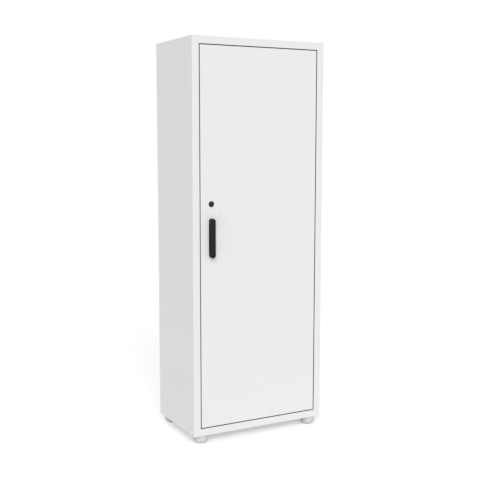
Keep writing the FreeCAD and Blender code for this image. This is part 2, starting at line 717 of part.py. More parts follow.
def lock_plug():
    """Plug with a key slot in front, a shoulder for the pinion and a square tang behind."""
    front = FRONT - ROSE_DEPTH + PLUG_RECESS
    centre = Vector(LOCK_X, 0, LOCK_HEIGHT)
    plug = round_bar(PLUG_RADIUS, centre + Vector(0, front, 0), centre + Vector(0, ROD_FRONT, 0))
    tang_end = COVER_OUTER + SLACK + WASHER_DEPTH
    tang = block(LOCK_X - TANG / 2, LOCK_X + TANG / 2, ROD_FRONT, tang_end,
                 LOCK_HEIGHT - TANG / 2, LOCK_HEIGHT + TANG / 2)
    slot = block(LOCK_X - KEY_SLOT_WIDTH / 2, LOCK_X + KEY_SLOT_WIDTH / 2, front - OVERRUN,
                 front + KEY_SLOT_DEPTH, LOCK_HEIGHT - KEY_SLOT_LENGTH / 2, LOCK_HEIGHT + KEY_SLOT_LENGTH / 2)
    return joined([plug, tang]).cut(slot)


def tang_hole(y0, y1):
    half = TANG / 2 + FIT
    return block(LOCK_X - half, LOCK_X + half, y0 - OVERRUN, y1 + OVERRUN,
                 LOCK_HEIGHT - half, LOCK_HEIGHT + half)


def involute(angle):
    return math.tan(angle) - angle


def pinion_outline():
    """Tooth outline: involute flanks down to the base circle and straight ones below it."""
    base = PITCH_RADIUS * math.cos(PRESSURE_ANGLE)
    half_tooth = (TOOTH_PITCH / 2 - BACKLASH) / 2 / PITCH_RADIUS
    flank = []
    for radius in (PITCH_RADIUS - DEDENDUM, base, PITCH_RADIUS, PITCH_RADIUS + ADDENDUM):
        slope = math.acos(min(base / radius, 1))
        flank.append((radius, half_tooth + involute(PRESSURE_ANGLE) - involute(slope)))
    step = 2 * math.pi / PINION_TEETH
    outline = []
    for tooth in range(PINION_TEETH):
        middle = math.pi / 2 + step * (tooth + 1 / 2)
        turns = [(radius, middle - half) for radius, half in flank]
        turns += [(radius, middle + half) for radius, half in reversed(flank)]
        for radius, turn in turns:
            outline.append((LOCK_HEIGHT + radius * math.cos(turn), LOCK_X + radius * math.sin(turn)))
    return outline


def lock_pinion():
    """Pinion on the tang, between the plug's shoulder and the cover."""
    gear = extruded(plain_face(pinion_outline(), "y"), "y", ROD_FRONT, ROD_BACK)
    return gear.cut(tang_hole(ROD_FRONT, ROD_BACK))


def lock_washer():
    """Six-sided retaining washer on the tang behind the cover."""
    y0 = COVER_OUTER + SLACK
    washer = hexagon(WASHER_FLATS, Vector(LOCK_X, y0, LOCK_HEIGHT), Vector(0, 1, 0), WASHER_DEPTH)
    return washer.cut(tang_hole(y0, y0 + WASHER_DEPTH))


def rack_points(low, high):
    """Tooth edge of a rod between two distances from the lock, as (along the rod, off the lock's axis)."""
    half_tip = (TOOTH_PITCH / 2 - BACKLASH) / 2 - ADDENDUM * math.tan(PRESSURE_ANGLE)
    half_root = (TOOTH_PITCH / 2 - BACKLASH) / 2 + DEDENDUM * math.tan(PRESSURE_ANGLE)
    root = PITCH_RADIUS + DEDENDUM
    points = []
    for i in range(math.ceil(low / TOOTH_PITCH), math.floor(high / TOOTH_PITCH)):
        before = TOOTH_PITCH * i
        after = before + TOOTH_PITCH
        points += [(before + half_tip, ROD_INNER), (before + half_root, root), (after - half_root, root),
                   (after - half_tip, ROD_INNER)]
    return points


def locking_rod(turn):
    """Flat rod with a rack at the lock and a tapered end; turn is +1 for the upper rod, else -1."""
    length = turn * (rod_end(turn) - LOCK_HEIGHT)
    tail = ROD_TRAVEL + RACK_RUN_OUT + TOOTH_PITCH
    teeth = rack_points(-tail, RACK_RUN_OUT + TOOTH_PITCH)
    outline = [(-tail - TOOTH_PITCH, ROD_OUTER), (-tail - TOOTH_PITCH, ROD_INNER)] + teeth
    outline += [(length - ROD_TIP, ROD_INNER), (length, ROD_INNER + ROD_TIP), (length, ROD_OUTER - ROD_TIP),
                (length - ROD_TIP, ROD_OUTER)]
    pairs = [(LOCK_HEIGHT + turn * along, LOCK_X - turn * off) for along, off in outline]
    return extruded(plain_face(pairs, "y"), "y", ROD_FRONT, ROD_BACK)


# Feet

def foot(x, y):
    """Round foot with an eased lower edge."""
    outline = [(FOOT_HEIGHT, FOOT_RADIUS), (FOOT_HEIGHT, 0), (0, 0)]
    outline += [(rise, FOOT_RADIUS - inward) for rise, inward in eased_corner(FOOT_ROUND)]
    puck = plain_face(outline, "y").revolve(Vector(0, 0, 0), Vector(0, 0, 1), 360)
    puck.translate(Vector(x, y, 0))
    return puck


def feet():
    return Part.makeCompound([foot(x, y) for x in FOOT_X for y in FOOT_Y])


def pieces():
    """All pieces by name."""
    found = {
        "left_side": left_side(),
        "right_side": right_side(),
        "top_panel": top_panel(),
        "bottom_panel": bottom_panel(),
        "back_panel": back_panel(),
        "partition": partition(),
        "hat_shelf": hat_shelf(),
        "hat_bracket_left": hat_bracket(),
        "hat_bracket_right": hat_bracket().mirror(Vector(0, 0, 0), Vector(1, 0, 0)),
        "shelf_clips": shelf_clips(),
        "hook_rail": hook_rail(),
        "broom_hooks": broom_hooks(),
        "door_buffers": door_buffers(),
        "hinge_bush_upper": hinge_bush(),
        "hinge_bush_lower": mirrored_up(hinge_bush()),
        "hinge_pin_upper": hinge_pin(),
        "hinge_pin_lower": mirrored_up(hinge_pin()),
        "hinge_block_upper": hinge_block(),
        "hinge_block_lower": mirrored_up(hinge_block()),
        "door_pan": door_pan(),
        "door_stiffener": door_stiffener(),
        "handle": handle(),
        "lock_barrel": lock_barrel(),
        "barrel_nut": barrel_nut(),
        "lock_bracket": lock_bracket(),
        "lock_plate": lock_plate(),
        "lock_cover": lock_cover(),
        "rod_guide_upper": rod_guide(1),
        "rod_guide_lower": rod_guide(-1),
        "lock_plug": lock_plug(),
        "lock_pinion": lock_pinion(),
        "lock_washer": lock_washer(),
        "rod_upper": locking_rod(1),
        "rod_lower": locking_rod(-1),
        "feet": feet(),
    }
    for name, step in SHELF_SLOTS.items():
        found[name] = half_shelf(step)
    for row, y in UPRIGHT_ROWS.items():
        found["upright_partition_" + row] = upright(y)
        found["upright_wall_" + row] = across_bay(upright(y))
    return found


os.makedirs("parts", exist_ok=True)
for piece_name, piece_shape in pieces().items():
    piece_shape.exportStep("parts/" + piece_name + ".step")
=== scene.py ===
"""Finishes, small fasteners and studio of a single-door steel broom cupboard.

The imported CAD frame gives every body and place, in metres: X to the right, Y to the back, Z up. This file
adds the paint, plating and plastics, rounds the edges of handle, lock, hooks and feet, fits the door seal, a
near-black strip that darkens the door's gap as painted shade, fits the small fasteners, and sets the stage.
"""

import json
import math

import bmesh
import bpy
from bpy.props import FloatProperty, FloatVectorProperty, PointerProperty
from mathutils import Matrix, Vector

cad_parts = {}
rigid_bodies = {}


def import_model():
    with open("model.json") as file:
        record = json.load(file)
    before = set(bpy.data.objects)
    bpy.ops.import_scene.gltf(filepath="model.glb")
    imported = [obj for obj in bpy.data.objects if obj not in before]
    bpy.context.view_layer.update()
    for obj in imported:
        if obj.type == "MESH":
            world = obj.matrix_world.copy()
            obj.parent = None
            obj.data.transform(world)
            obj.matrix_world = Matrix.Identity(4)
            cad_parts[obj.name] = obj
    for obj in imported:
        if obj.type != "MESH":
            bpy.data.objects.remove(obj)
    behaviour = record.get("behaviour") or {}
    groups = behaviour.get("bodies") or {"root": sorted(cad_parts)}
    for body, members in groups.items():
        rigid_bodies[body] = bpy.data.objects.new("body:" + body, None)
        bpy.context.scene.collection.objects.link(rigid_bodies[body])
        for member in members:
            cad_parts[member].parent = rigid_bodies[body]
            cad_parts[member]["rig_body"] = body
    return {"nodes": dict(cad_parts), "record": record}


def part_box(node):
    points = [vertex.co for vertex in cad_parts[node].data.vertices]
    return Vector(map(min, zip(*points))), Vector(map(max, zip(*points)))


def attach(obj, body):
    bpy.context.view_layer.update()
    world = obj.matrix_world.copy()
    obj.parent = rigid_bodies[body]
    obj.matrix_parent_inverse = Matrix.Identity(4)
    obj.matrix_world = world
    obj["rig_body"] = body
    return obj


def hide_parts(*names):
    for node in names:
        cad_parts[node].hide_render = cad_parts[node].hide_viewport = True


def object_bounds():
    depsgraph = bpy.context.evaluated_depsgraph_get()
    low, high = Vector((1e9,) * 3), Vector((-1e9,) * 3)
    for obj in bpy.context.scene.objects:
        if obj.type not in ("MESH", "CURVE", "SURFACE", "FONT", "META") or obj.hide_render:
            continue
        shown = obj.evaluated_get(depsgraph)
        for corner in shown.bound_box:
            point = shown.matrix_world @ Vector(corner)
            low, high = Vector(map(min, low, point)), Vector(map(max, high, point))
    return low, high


bl_info = {
    "name": "Broom cupboard",
    "version": (1, 0, 0),
    "blender": (4, 5, 0),
    "location": "3D View > Sidebar > Cupboard",
    "description": "Finishes, small fasteners and studio of a single-door steel broom cupboard",
    "category": "Object",
}

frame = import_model()
CAD_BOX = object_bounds()

X = Vector((1, 0, 0))
Y = Vector((0, 1, 0))
Z = Vector((0, 0, 1))


def low(node):
    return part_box(node)[0]


def high(node):
    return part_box(node)[1]


def middle(node):
    return (low(node) + high(node)) / 2


def nodes_of(slot):
    """Names of the CAD nodes that have a material slot of the record."""
    return [part["node"] for part in frame["record"]["subparts"] if part["material_slot"] == slot]


# Sheet thicknesses and places, read from the frame
SHEET = high("back_panel").y - low("back_panel").y
HEAVY_SHEET = high("lock_plate").y - low("lock_plate").y
LOCK_CENTRE = middle("lock_barrel")
ROSE_RADIUS = (high("lock_barrel").x - low("lock_barrel").x) / 2
DOOR_SKIN = low("door_pan").y + SHEET
BACK_SKIN = low("back_panel").y
CABINET_FLOOR = low("bottom_panel").z + SHEET


def colour(name, description, default):
    return FloatVectorProperty(name=name, description=description, subtype="COLOR", min=0, max=1,
                               default=default)


def length(name, description, default):
    return FloatProperty(name=name, description=description, subtype="DISTANCE", unit="LENGTH", min=0,
                         precision=5, default=default)


def share(name, description, default):
    return FloatProperty(name=name, description=description, subtype="FACTOR", min=0, max=1, default=default)


def strength(name, description, default):
    return FloatProperty(name=name, description=description, min=0, default=default)


def angle(name, description, default):
    return FloatProperty(name=name, description=description, subtype="ANGLE", unit="ROTATION",
                         default=math.radians(default))


class PaintSettings(bpy.types.PropertyGroup):
    colour: colour("Paint", "Colour of the powder coat on the sheet steel", (0.86, 0.865, 0.86))
    roughness: share("Roughness", "Roughness of the powder coat", 0.42)
    peel_size: length("Peel size", "Width of the soft bumps of the powder coat", 0.0018)
    peel_depth: length("Peel depth", "Height of the soft bumps of the powder coat", 0.00016)
    # this colour also paints the painted shade and dust along the back's flange seams
    mark_and_seam_shade_colour: colour("Marks", "Colour of finger marks and scuffs", (0.42, 0.4, 0.37))
    mark_amount: share("Mark amount", "How strongly finger marks and scuffs show", 0.15)


class FittingSettings(bpy.types.PropertyGroup):
    zinc_colour: colour("Zinc", "Colour of the zinc plating", (0.47, 0.48, 0.49))
    zinc_roughness: share("Zinc roughness", "Roughness of the zinc plating", 0.3)
    crystal_size: length("Crystal size", "Width of the plating's crystals", 0.003)
    handle_colour: colour("Handle", "Colour of the moulded handle", (0.006, 0.006, 0.0065))
    handle_grain: length("Handle grain", "Width of the handle's moulded grain", 0.0007)
    handle_edge: length("Handle edge", "Radius of the handle's edges", 0.0016)
    lock_colour: colour("Lock", "Colour of the lock's rose", (0.006, 0.006, 0.0065))
    rose_edge: length("Rose edge", "Radius of the rose's rim", 0.001)
    plug_colour: colour("Plug", "Colour of the plug that takes the key", (0.06, 0.058, 0.058))
    plug_edge: length("Plug edge", "Radius of the plug's rim", 0.0003)
    hook_edge: length("Hook bend", "Radius of the broom hooks' bends", 0.0009)
    washer_edge: length("Washer edge", "Radius of the edges of the lock's washer", 0.0003)
    nylon_colour: colour("Nylon", "Colour of the bushes and rod guides", (0.8, 0.79, 0.74))
    foot_colour: colour("Feet", "Colour of the moulded feet", (0.68, 0.685, 0.68))
    # rubber of the buffers, and of the near-black door seal that darkens the door's gap as painted shade
    buffer_and_gap_shade_rubber_colour: colour("Rubber", "Colour of the door's seal and buffers", (0.012, 0.012, 0.012))
    gap_shade_seal_height: length("Seal height", "How far the door seal stands off the jamb", 0.0034)
    gap_shade_seal_depth: length("Seal depth", "How far the door seal goes into the gap", 0.0065)


class FastenerSettings(bpy.types.PropertyGroup):
    handle_screw: length("Handle screws", "Head diameter of the handle's screws", 0.009)
    foot_screw: length("Foot screws", "Head diameter of the screws that hold the feet", 0.014)
    lock_rivet: length("Lock rivets", "Head diameter of the rivets in the lock case", 0.0062)
    hook_rivet: length("Hook rivets", "Head diameter of the rivets in the hooks", 0.0075)
    weld: length("Weld marks", "Diameter of a spot-weld mark", 0.0062)
    weld_spacing: length("Weld spacing", "Distance between spot welds along a flange", 0.15)


class StageSettings(bpy.types.PropertyGroup):
    floor_colour: colour("Floor", "Colour of the studio floor", (0.8, 0.8, 0.8))
    floor_lift: strength("Floor lift", "White added to the floor where it is seen", 0.38)
    sky: strength("Sky", "Strength of the even light from all sides", 0.56)
    key: strength("Key", "Strength of the wide lamp at the front left", 1.5)
    camera_place: FloatVectorProperty(name="Camera place", description="Where the camera stands",
                                      subtype="XYZ", unit="LENGTH", default=(-1.94485, -3.69655, 1.43385))
    camera_tilt: angle("Camera tilt", "Angle of the view from straight down", 83.241)
    camera_turn: angle("Camera turn", "Turn of the view to the left", -27.708)
    lens: FloatProperty(name="Lens", description="Focal length in millimetres", subtype="DISTANCE_CAMERA",
                        default=63.288)


class CupboardSettings(bpy.types.PropertyGroup):
    paint: PointerProperty(type=PaintSettings)
    fittings: PointerProperty(type=FittingSettings)
    fasteners: PointerProperty(type=FastenerSettings)
    stage: PointerProperty(type=StageSettings)


# Shader nodes from expressions

MEAN_NOISE = 0.5
FACING = (0.8, 1.0)

# Places of a Mix node's colour sockets, which share their names with its other sockets
MIX_FIRST = 6
MIX_SECOND = 7
MIX_RESULT = 2


class Value:
    """An output of a node, with operators that add Math nodes to the same tree."""

    def __init__(self, nodes, socket):
        self.nodes = nodes
        self.socket = socket

    def out(self, name):
        """Another output of the same node."""
        return Value(self.nodes, self.socket.node.outputs[name])

    def math(self, operation, *values):
        return self.nodes.node("ShaderNodeMath", {"operation": operation}, dict(enumerate(values)))

    def __add__(self, other):
        return self.math("ADD", self, other)

    __radd__ = __add__

    def __sub__(self, other):
        return self.math("SUBTRACT", self, other)

    def __rsub__(self, other):
        return self.math("SUBTRACT", other, self)

    def __mul__(self, other):
        return self.math("MULTIPLY", self, other)

    __rmul__ = __mul__


class Nodes:
    """A node tree that is filled by expressions."""

    def __init__(self, tree):
        self.tree = tree

    def node(self, kind, settings=None, inputs=None, output=0):
        """Add a node: its settings first, then the values or links of its sockets."""
        made = self.tree.nodes.new(kind)
        for name, value in (settings or {}).items():
            setattr(made, name, value)
        for name, value in (inputs or {}).items():
            self.feed(made.inputs[name], value)
        return Value(self, made.outputs[output])

    def feed(self, socket, value):
        if isinstance(value, Value):
            self.tree.links.new(value.socket, socket)
        elif socket.type == "RGBA":
            socket.default_value = (*value[:3], 1)
        else:
            socket.default_value = value

    def place(self):
        """The point on the piece, in metres, which moves with the piece."""
        return self.node("ShaderNodeTexCoord", output="Object")

    def along(self, axis, vector):
        """The part of a vector along an axis."""
        return self.node("ShaderNodeSeparateXYZ", None, {0: vector}).out(axis)

    def facing(self, axis):
        """1 where the surface looks the way of an axis, falling to 0 as it turns aside."""
        return self.ramp(self.along(axis, self.node("ShaderNodeNewGeometry", output="Normal")), *FACING)

    def off_middle(self, axis, place, centre):
        """Distance from a centre along an axis, either way."""
        offset = self.along(axis, place) - centre
        return offset.math("ABSOLUTE", offset)

    def vector(self, operation, first, second=(0, 0, 0), output=0):
        return self.node("ShaderNodeVectorMath", {"operation": operation}, {0: first, 1: second}, output)

    def noise(self, place, size, detail=2.0):
        """Soft spots about as wide as the size, from 0 to 1."""
        return self.node("ShaderNodeTexNoise", None, {"Vector": place, "Scale": 1 / size, "Detail": detail})

    def cells(self, place, size):
        """A random grey for each crystal about as wide as the size."""
        found = self.node("ShaderNodeTexVoronoi", None, {"Vector": place, "Scale": 1 / size}, "Color")
        return self.node("ShaderNodeSeparateColor", None, {0: found})

    def ramp(self, value, start, end):
        """Smooth step from 0 at the start to 1 at the end."""
        return self.node("ShaderNodeMapRange", {"interpolation_type": "SMOOTHSTEP"},
                         {"Value": value, "From Min": start, "From Max": end})

    def mixed(self, factor, first, second):
        """A colour between two."""
        return self.node("ShaderNodeMix", {"data_type": "RGBA"},
                         {0: factor, MIX_FIRST: first, MIX_SECOND: second}, MIX_RESULT)

    def shown(self):
        """1 for rays that show the stage itself and 0 for those that light the object."""
        rays = self.node("ShaderNodeLightPath", output="Is Camera Ray")
        return rays + rays.out("Is Glossy Ray") + rays.out("Is Transmission Ray")


class Finish(Nodes):
    """A procedural material round one Principled shader."""

    def __init__(self, name):
        self.material = bpy.data.materials.new(name)
        self.material.use_nodes = True
        super().__init__(self.material.node_tree)
        self.shader = self.tree.nodes["Principled BSDF"]

    def surface(self, inputs):
        for name, value in inputs.items():
            self.feed(self.shader.inputs[name], value)

    def relief(self, height, depth):
        """Normal of a surface whose height from 0 to 1 stands for that depth."""
        return self.node("ShaderNodeBump", None, {"Strength": 1.0, "Distance": depth, "Height": height})


def dress(names, finish):
    """Give CAD nodes a finish."""
    for name in names:
        for slot in frame["nodes"][name].material_slots:
            slot.material = finish.material


# Finishes

CLOUD_SIZE = 0.35
CLOUD_SHARE = 0.025
FILM_SIZE = 0.03
GLOSS_SHARE = 0.12

# Noise values between which smears, streaks and dust come up
SMEARED = (0.5, 0.75)
STREAKED = (0.58, 0.75)
DUSTED = (0.4, 1.0)


def coat_inputs(finish, paint, marks=None):
    """Sockets of a powder coat: soft orange-peel bumps and a film that varies a little over the surface,
    mixed towards the mark colour where marks are given.
    """
    place = finish.place()
    cloud = finish.noise(place, CLOUD_SIZE)
    film = finish.noise(place, FILM_SIZE)
    peel = finish.noise(place, paint.peel_size)
    thin = [part * (1 - CLOUD_SHARE) for part in paint.colour]
    shade = finish.mixed(cloud, thin, paint.colour)
    roughness = paint.roughness + GLOSS_SHARE * (film - MEAN_NOISE)
    # marks are finger marks, scuffs and dust, or painted shade and dust along the back's seams
    if marks is not None:
        shade = finish.mixed(marks, shade, paint.mark_and_seam_shade_colour)
        roughness = roughness + marks
    return {"Base Color": shade, "Roughness": roughness, "Normal": finish.relief(peel, paint.peel_depth)}


def powder_coat(name, paint):
    """The plain powder coat of sheets and weld marks."""
    finish = Finish(name)
    finish.surface(coat_inputs(finish, paint))
    return finish


HAND_REACH = 0.16
HAND_STRETCH = Vector((1, 1, 0.6))
HAND_SMEAR = 0.03
KICK_REACH = 0.16
KICK_STRETCH = Vector((0.15, 1, 1))
KICK_SIZE = 0.007


def door_coat(paint):
    """The powder coat with faint finger marks round the handle and kick marks low down, on the outside."""
    finish = Finish("door_coat")
    place = finish.place()
    stretched = finish.vector("MULTIPLY", place, HAND_STRETCH)
    from_handle = finish.vector("DISTANCE", stretched, middle("handle") * HAND_STRETCH, "Value")
    smears = finish.ramp(finish.noise(stretched, HAND_SMEAR), *SMEARED)
    fingers = finish.ramp(from_handle, HAND_REACH, 0) * smears
    near_floor = finish.ramp(finish.along("Z", place), low("door_pan").z + KICK_REACH, low("door_pan").z)
    streaks = finish.noise(finish.vector("MULTIPLY", place, KICK_STRETCH), KICK_SIZE)
    kicks = near_floor * finish.ramp(streaks, *STREAKED)
    outside = finish.ramp(finish.along("Y", place), DOOR_SKIN, low("door_pan").y)
    finish.surface(coat_inputs(finish, paint, (fingers + kicks) * outside * paint.mark_amount))
    return finish


SCUFF_SIZE = 0.012
SCUFF_STRETCH = Vector((1, 0.12, 1))
DUST_SIZE = 0.09
DUST_STRETCH = Vector((1, 1, 1))


def worn_coat(name, paint, spots, stretch, size):
    """The powder coat with faint marks on the faces that look up: scuffs on shelves, or dust on the top."""
    finish = Finish(name)
    place = finish.vector("MULTIPLY", finish.place(), stretch)
    marks = finish.ramp(finish.noise(place, size), *spots) * finish.facing("Z") * paint.mark_amount
    finish.surface(coat_inputs(finish, paint, marks))
    return finish


# Painted shade and dust along the seams where the rear flanges lie on the back: their width and strength
REAR_FLANGE = 0.015
SEAM_SHADE_AND_DUST_REACH = 0.006
SEAM_SHADE_AND_DUST_SHARE = 0.45


def shade_and_dust_seam_coat(paint):
    """The powder coat of the back, greyed along the edges of the flanges that lie on it by painted shade and
    dust.
    """
    finish = Finish("back_coat")
    place = finish.place()
    centre = (CAD_BOX[0] + CAD_BOX[1]) / 2
    half_width = high("right_side").x - REAR_FLANGE
    half_height = (high("right_side").z - low("right_side").z) / 2 - REAR_FLANGE
    across = finish.ramp(finish.off_middle("X", place, centre.x), half_width - SEAM_SHADE_AND_DUST_REACH, half_width)
    upright = finish.ramp(finish.off_middle("Z", place, middle("right_side").z), half_height - SEAM_SHADE_AND_DUST_REACH,
                          half_height)
    # painted shade and dust, darkest at the flange edges, only on the faces that look back
    seam_shade_and_dust = across.math("MAXIMUM", across, upright)
    finish.surface(coat_inputs(finish, paint, seam_shade_and_dust * finish.facing("Y") * SEAM_SHADE_AND_DUST_SHARE))
    return finish


LONG_BRUSH = Vector((1, 1, 0.02))
FLAT_BRUSH = Vector((0.05, 1, 1))
BRUSH_SIZE = 0.0012
BRUSH_DEPTH = 0.000008
CRYSTAL_SHARE = 0.15
WASHER_TONE = 0.45


def zinc_plate(name, fittings, brush, tone=1.0):
    """Zinc plating: pale crystals over fine rolling lines, along the way the brush vector stretches."""
    finish = Finish(name)
    place = finish.place()
    crystals = finish.cells(place, fittings.crystal_size)
    lines = finish.noise(finish.vector("MULTIPLY", place, brush), BRUSH_SIZE)
    bright = [part * tone for part in fittings.zinc_colour]
    dull = [part * (1 - CRYSTAL_SHARE) for part in bright]
    finish.surface({
        "Base Color": finish.mixed(crystals, dull, bright),
        "Metallic": 1.0,
        "Roughness": fittings.zinc_roughness + CRYSTAL_SHARE * (crystals - lines),
        "Normal": finish.relief(lines, BRUSH_DEPTH),
    })
    return finish


BLACK_GLOSS = 0.2
HANDLE_ROUGHNESS = 0.5
GRAIN_DEPTH = 0.00005
GRAIN_PALER = 2
GRAIN_SHARE = 0.1
GRIP_REACH = 0.05
GRIP_SHARE = 0.14


def handle_plastic(fittings):
    """Grained black plastic, rubbed smoother where the hand closes round it."""
    finish = Finish("handle_plastic")
    place = finish.place()
    grain = finish.noise(place, fittings.handle_grain)
    rubbed = finish.ramp(finish.off_middle("Z", place, middle("handle").z), GRIP_REACH, 0)
    pale = [part * GRAIN_PALER for part in fittings.handle_colour]
    finish.surface({
        "Base Color": finish.mixed(grain, fittings.handle_colour, pale),
        "Roughness": HANDLE_ROUGHNESS - GRIP_SHARE * rubbed + GRAIN_SHARE * (grain - MEAN_NOISE),
        "Specular IOR Level": BLACK_GLOSS,
        "Normal": finish.relief(grain, GRAIN_DEPTH),
    })
    return finish


TURNED_ROUGHNESS = 0.36
TURNED_PITCH = 0.0005
TURNED_DEPTH = 0.00001
RING_SHARE = 0.1
RIM_WIDTH = 0.0012
RIM_WEAR = (0.09, 0.09, 0.09)
PLUG_METALLIC = 0.6


def turned_metal(name, tint, rim, metallic=0.0):
    """Dark metal with fine turned rings round the lock's axis, and a rim rubbed a little paler."""
    finish = Finish(name)
    place = finish.place()
    off_axis = finish.vector("MULTIPLY", finish.vector("SUBTRACT", place, LOCK_CENTRE), X + Z)
    radius = finish.vector("LENGTH", off_axis, output="Value")
    turn = radius * (2 * math.pi / TURNED_PITCH)
    rings = 0.5 + 0.5 * turn.math("SINE", turn)
    worn = finish.ramp(radius, rim - RIM_WIDTH, rim) * finish.noise(place, RIM_WIDTH)
    finish.surface({
        "Base Color": finish.mixed(worn, tint, RIM_WEAR),
        "Metallic": metallic,
        "Roughness": TURNED_ROUGHNESS + RING_SHARE * (rings - worn),
        "Specular IOR Level": BLACK_GLOSS,
        "Normal": finish.relief(rings, TURNED_DEPTH),
    })
    return finish


# Surfaces of the mouldings: roughness, width and strength of the cloudy spots, and depth of the fine relief
NYLON_SURFACE = {"roughness": 0.4, "spot": 0.003, "spot_share": 0.06, "depth": 0.00002}
RUBBER_SURFACE = {"roughness": 0.72, "spot": 0.001, "spot_share": 0.3, "depth": 0.00005}
FOOT_SURFACE = {"roughness": 0.5, "spot": 0.004, "spot_share": 0.08, "depth": 0.00004}
RELIEF_SHARE = 0.25


def moulded(name, tint, roughness, spot, spot_share, depth):
    """Moulded plastic or rubber: soft cloudy spots of a given size in the colour and in the surface."""
    finish = Finish(name)
    place = finish.place()
    spots = finish.noise(place, spot)
    dark = [part * (1 - spot_share) for part in tint]
    finish.surface({
        "Base Color": finish.mixed(spots, dark, tint),
        "Roughness": roughness + spot_share * (spots - MEAN_NOISE),
        "Normal": finish.relief(finish.noise(place, spot * RELIEF_SHARE), depth),
    })
    return finish


# Pieces

SMOOTH_ANGLE = math.radians(50)


def add_piece(name, mesh, finish, body, smooth_angle=SMOOTH_ANGLE):
    """Make a piece of a bmesh, smooth but for edges sharper than the angle, and let it ride on a body."""
    data = bpy.data.meshes.new(name)
    mesh.to_mesh(data)
    mesh.free()
    data.shade_smooth()
    data.set_sharp_from_angle(angle=smooth_angle)
    data.materials.append(finish.material)
    piece = bpy.data.objects.new(name, data)
    bpy.context.scene.collection.objects.link(piece)
    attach(piece, body)
    return piece


SAME_POINT = 0.000001
FLAT_ANGLE = math.radians(0.2)
EDGE_ANGLE = math.radians(20)
EDGE_STEPS = 4
ROUND_EDGE = 0.5


def soften(node, name, width, finish):
    """Stand in for a CAD node by the same shape with its sharp edges rounded."""
    mesh = bmesh.new()
    mesh.from_mesh(frame["nodes"][node].data)
    bmesh.ops.remove_doubles(mesh, verts=mesh.verts, dist=SAME_POINT)
    bmesh.ops.dissolve_limit(mesh, angle_limit=FLAT_ANGLE, verts=mesh.verts, edges=mesh.edges)
    sharp = [edge for edge in mesh.edges if edge.is_manifold and edge.calc_face_angle() > EDGE_ANGLE]
    bmesh.ops.bevel(mesh, geom=sharp, offset=width, offset_type="OFFSET", segments=EDGE_STEPS,
                    profile=ROUND_EDGE, affect="EDGES", clamp_overlap=True)
    piece = add_piece(name, mesh, finish, frame["nodes"][node]["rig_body"])
    piece.modifiers.new("flat_faces", "WEIGHTED_NORMAL")
    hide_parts(node)


# Turned pieces and small fasteners

class TurnedPiece:
    """Rings of points that make a foot or a fastener's head, the lowest first, its axis along Z."""

    def __init__(self, profile, angles):
        self.rings = [self.circle(radius, height, angles) for radius, height in profile]

    @staticmethod
    def circle(radius, height, angles):
        return [Vector((radius * math.cos(turn), radius * math.sin(turn), height)) for turn in angles]

    def add_to(self, mesh, place):
        """Add a closed skin over the rings to a bmesh."""
        loops = [[mesh.verts.new(place @ point) for point in ring] for ring in self.rings]
        for lower, upper in zip(loops, loops[1:]):
            for i in range(len(lower)):
                mesh.faces.new((lower[i - 1], lower[i], upper[i], upper[i - 1]))
        for ring, loop in ((self.rings[0], loops[0][::-1]), (self.rings[-1], loops[-1])):
            centre = mesh.verts.new(place @ (sum(ring, Vector()) / len(ring)))
            for i in range(len(loop)):
                mesh.faces.new((loop[i - 1], loop[i], centre))


SUNK = 0.0004
ROUND_STEPS = 24
WELD_STEPS = 12

# Rings of each fastener as shares of its radius and rise, the lowest first, and its rise as a share of its
# diameter
SCREW_SHARES = ((1.45, 0.16), (1.38, 0.2), (1.02, 0.2), (1, 0.3), (0.97, 0.62), (0.86, 0.86), (0.68, 1))
SCREW_RISE_SHARE = 0.36
RIVET_SHARES = ((1, 0.1), (0.94, 0.45), (0.75, 0.8), (0.5, 1), (0.36, 1), (0.3, 0.7))
RIVET_RISE_SHARE = 0.26
WELD_SHARES = ((1, 0), (0.97, 0.3), (0.82, 1), (0.66, 0.5), (0.4, 0.2))
WELD_RISE_SHARE = 0.035

# Cross recess of a screw: arm and half width as shares of its radius, then width and height of its floor
CROSS_ARM_SHARE = 0.55
CROSS_WIDTH_SHARE = 0.14
CROSS_FLOOR_SHARE = 0.7
CROSS_HEIGHT_SHARE = 0.45


def even_angles(count):
    return [2 * math.pi * i / count for i in range(count)]


def cross_outline(arm, half_width):
    """Corners of a cross and the middles of its sides, anticlockwise."""
    corners = []
    for quarter in range(4):
        turn = Matrix.Rotation(quarter * math.pi / 2, 4, "Z")
        for x, y in ((arm, half_width), (half_width, half_width), (half_width, arm)):
            corners.append(turn @ Vector((x, y, 0)))
    outline = []
    for corner, after in zip(corners, corners[1:] + corners[:1]):
        outline += [corner, (corner + after) / 2]
    return outline


def head_profile(shares, diameter, rise_share):
    """Radius and height of each ring, the first one repeated just under the surface."""
    rings = [(across * diameter / 2, up * diameter * rise_share) for across, up in shares]
    return [(rings[0][0], -SUNK)] + rings


def screw_head(diameter):
    """Pan head on a washer, with a cross recess."""
    rise = Z * diameter * SCREW_RISE_SHARE
    cross = cross_outline(diameter / 2 * CROSS_ARM_SHARE, diameter / 2 * CROSS_WIDTH_SHARE)
    angles = [math.atan2(point.y, point.x) for point in cross]
    head = TurnedPiece(head_profile(SCREW_SHARES, diameter, SCREW_RISE_SHARE), angles)
    head.rings.append([point + rise for point in cross])
    head.rings.append([point * CROSS_FLOOR_SHARE + rise * CROSS_HEIGHT_SHARE for point in cross])
    return head


def rivet_head(diameter):
    """Low dome with the small hollow that its drawn stem leaves."""
    return TurnedPiece(head_profile(RIVET_SHARES, diameter, RIVET_RISE_SHARE), even_angles(ROUND_STEPS))


def weld_mark(diameter):
    """Shallow dish with a low rim, as a spot weld leaves."""
    return TurnedPiece(head_profile(WELD_SHARES, diameter, WELD_RISE_SHARE), even_angles(WELD_STEPS))


SPIN_STEP = math.radians(47)


